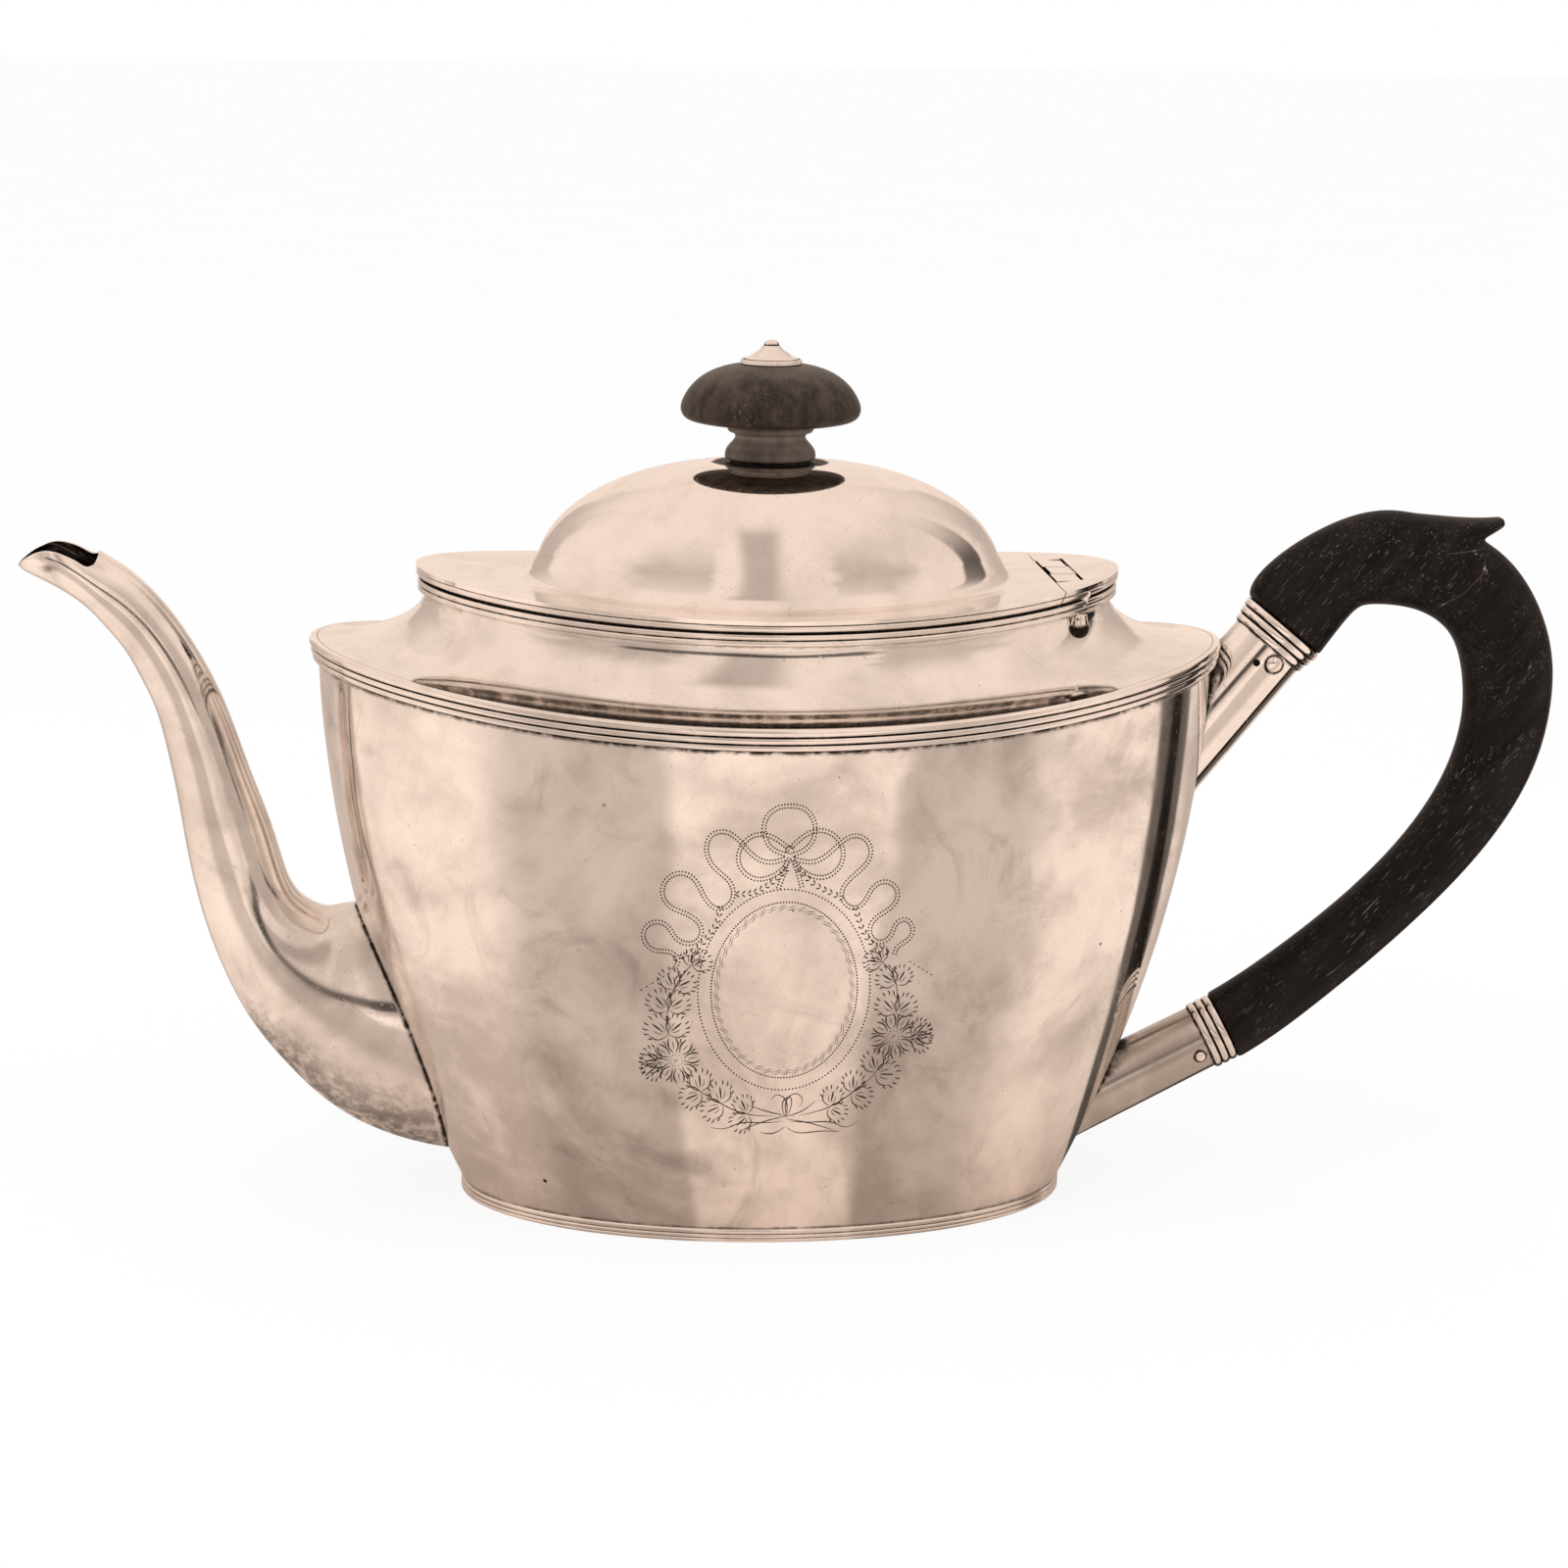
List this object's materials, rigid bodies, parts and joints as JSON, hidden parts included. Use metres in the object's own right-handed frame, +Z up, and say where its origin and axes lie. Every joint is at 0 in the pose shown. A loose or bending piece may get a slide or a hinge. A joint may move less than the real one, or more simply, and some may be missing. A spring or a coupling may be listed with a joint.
{
  "type": "teapot",
  "caption": "Oval boat-shaped silver teapot with a hinged domed lid, a turned wooden knob, a swan-neck spout and a dark wooden loop handle pinned into reeded sockets.",
  "frame": {"origin": "centre of the underside of the base", "axes": "+X along the pot towards the handle, +Y across it, +Z up"},
  "size_m": [0.2738, 0.1046, 0.1536],
  "materials": {
    "silver": "polished silver with a warm old patina and fine scratches",
    "dark_wood": "ebonised hardwood with a low sheen and pale open grain"
  },
  "bodies": {
    "pot": {"body_wall": "silver", "base_plate": "silver", "foot_reeding": "silver", "shoulder_panel": "silver", "shoulder_reeding": "silver", "rim_reeding": "silver", "hinge_leaf": "silver", "leaf_reeding": "silver", "pot_knuckles": "silver", "hinge_pin": "silver", "hinge_lugs": "silver", "spout": "silver", "upper_socket": "silver", "upper_collar": "silver", "upper_pin": "silver", "lower_socket": "silver", "lower_collar": "silver", "lower_pin": "silver", "handle": "dark_wood"},
    "lid": {"lid": "silver", "lid_reeding": "silver", "lid_bezel": "silver", "lid_knuckles": "silver", "knob": "dark_wood", "finial_cap": "silver", "finial_bolt": "silver", "finial_washer": "silver", "finial_nut": "silver"}
  },
  "joints": [
    {"name": "lid_hinge", "type": "hinge", "parent": "pot", "child": "lid", "pos_m": [0.052, 0, 0.11099], "axis": [0, 1, 0], "range_deg": [0, 95]}
  ]
}
